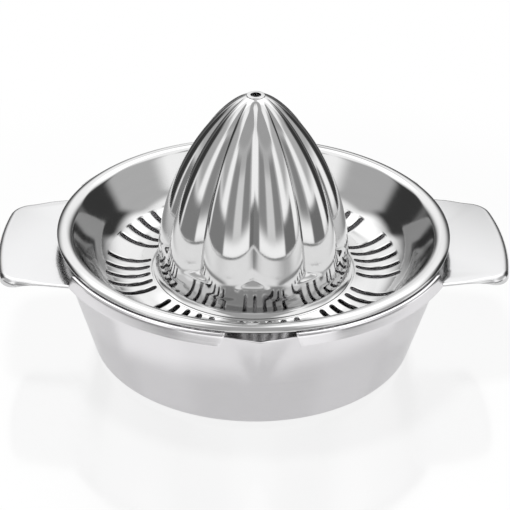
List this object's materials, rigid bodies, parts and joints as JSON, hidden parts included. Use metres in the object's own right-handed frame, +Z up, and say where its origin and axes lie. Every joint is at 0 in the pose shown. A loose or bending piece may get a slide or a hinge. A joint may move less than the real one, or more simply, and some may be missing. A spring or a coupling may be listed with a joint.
{
  "type": "citrus juicer",
  "caption": "Hand citrus juicer of pressed steel: a strainer tray with a lobed reamer cone and two ear handles sits in the rim of a juice bowl with a pouring spout.",
  "frame": {"origin": "middle of the underside of the bowl's foot, on the table", "axes": "+Z up, along the axis of the bowl and the cone; +X out along the right handle; the spout pours towards -Y"},
  "size_m": [0.207, 0.1645, 0.1097],
  "materials": {
    "satin_steel": "satin stainless steel sheet, fine brushed grain",
    "polished_steel": "mirror-polished stainless steel sheet"
  },
  "bodies": {
    "bowl": {"juice_bowl": "satin_steel"},
    "strainer": {"strainer_tray": "polished_steel", "reamer_cone": "polished_steel", "left_handle": "satin_steel", "right_handle": "satin_steel"}
  },
  "joints": [
    {"name": "strainer_lift", "type": "slide", "parent": "bowl", "child": "strainer", "axis": [0, 0, 1], "range_m": [0, 0.08]}
  ]
}
